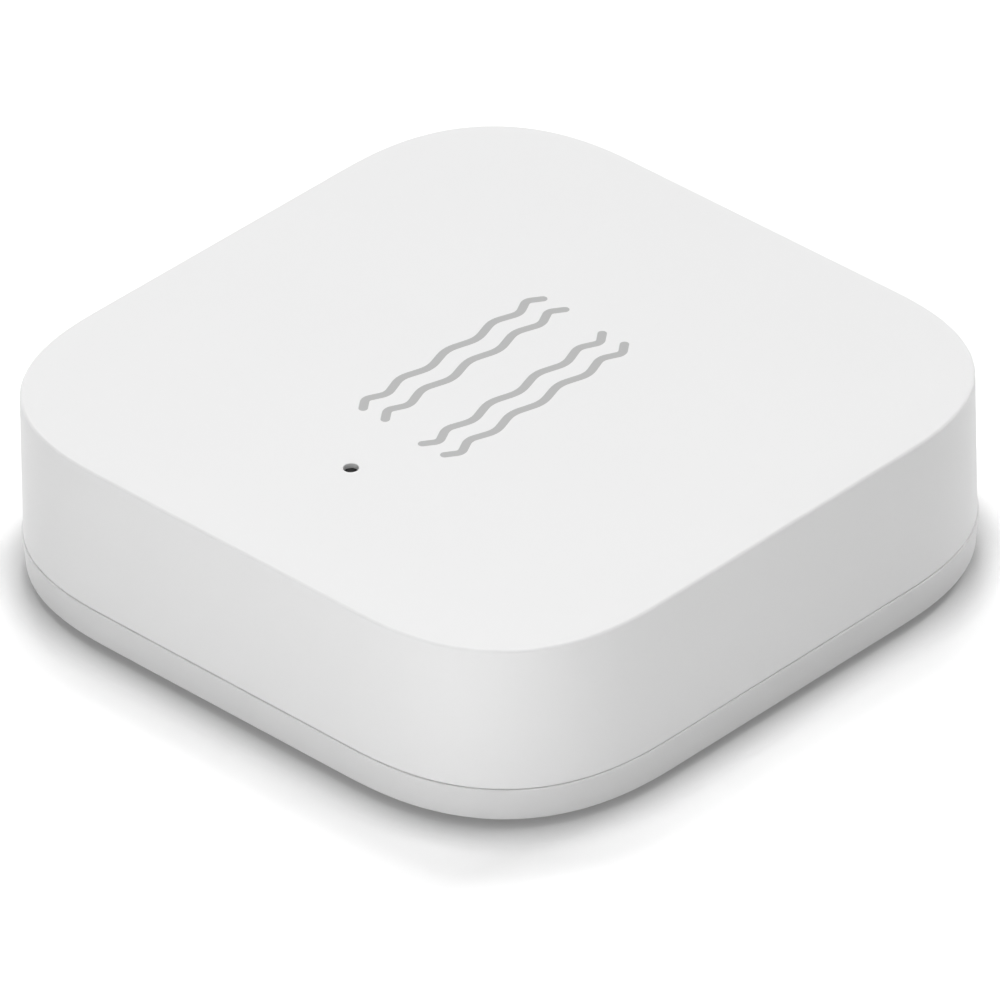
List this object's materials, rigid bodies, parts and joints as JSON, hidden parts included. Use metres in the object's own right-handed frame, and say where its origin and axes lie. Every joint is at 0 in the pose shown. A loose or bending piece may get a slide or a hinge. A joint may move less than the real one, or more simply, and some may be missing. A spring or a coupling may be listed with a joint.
{
  "type": "vibration sensor tag",
  "caption": "Square stick-on vibration sensor with soft corners, a coin cell door underneath, a side reset button and wavy marks on its top.",
  "frame": {"origin": "middle of the adhesive tape's lower face, which is the surface the tag is stuck to", "axes": "+Z out of the mounting surface through the tag's top; the wavy marks run along Y, the indicator hole is on the -Y side and the reset button is in the +Y side"},
  "size_m": [0.05, 0.05, 0.0133],
  "materials": {
    "cover_white": "satin",
    "base_white": "satin",
    "door_white": "satin",
    "button_white": "satin",
    "mark_grey": "matte",
    "tape_foam": "matte",
    "pad_foam": "matte",
    "cell_steel": "satin",
    "cell_plastic": "satin",
    "cell_lithium": "matte",
    "cell_separator": "matte",
    "cell_pellet": "matte",
    "contact_steel": "satin",
    "board_green": "satin",
    "screw_steel": "satin",
    "shield_tin": "satin",
    "chip_black": "matte",
    "crystal_metal": "satin",
    "capacitor_tan": "matte",
    "passive_ceramic": "matte",
    "copper": "satin",
    "led_clear": "gloss",
    "guide_smoke": "gloss",
    "switch_black": "matte",
    "plunger_plastic": "matte"
  },
  "bodies": {
    "housing": {"top_cover": "cover_white", "wave_marks": "mark_grey", "base_cover": "base_white", "adhesive_tape": "tape_foam", "cell_can": "cell_steel", "cell_gasket": "cell_plastic", "cell_cap": "cell_steel", "cell_anode": "cell_lithium", "cell_separator": "cell_separator", "cell_cathode": "cell_pellet", "positive_contact": "contact_steel", "negative_contact": "contact_steel", "circuit_board": "board_green", "board_screws": "screw_steel", "radio_shield_can": "shield_tin", "radio_chip": "chip_black", "radio_crystal": "crystal_metal", "memory_chip": "chip_black", "accelerometer_chip": "chip_black", "supply_capacitor": "capacitor_tan", "small_passives": "passive_ceramic", "antenna_trace": "copper", "test_pads": "copper", "indicator_led": "led_clear", "light_guide": "guide_smoke", "switch_body": "switch_black", "switch_frame": "shield_tin", "switch_dome": "contact_steel"},
    "battery_door": {"battery_door": "door_white", "door_pad": "pad_foam"},
    "reset_button": {"reset_button": "button_white"},
    "switch_plunger": {"switch_plunger": "plunger_plastic"}
  },
  "joints": [
    {"name": "battery_door_turn", "type": "hinge", "parent": "housing", "child": "battery_door", "pos_m": [0, 0, 0.0015], "axis": [0, 0, -1], "range_deg": [0, 30]},
    {"name": "reset_button_press", "type": "slide", "parent": "housing", "child": "reset_button", "axis": [0, -1, 0], "range_m": [0, 0.0003], "stiffness_N_per_m": 2000, "springref_m": -0.0006},
    {"name": "switch_plunger_slide", "type": "slide", "parent": "housing", "child": "switch_plunger", "axis": [0, -1, 0], "range_m": [0, 0.0003]}
  ],
  "couplings": [
    {"joint": "switch_plunger_slide", "follows": "reset_button_press", "ratio": 1}
  ]
}
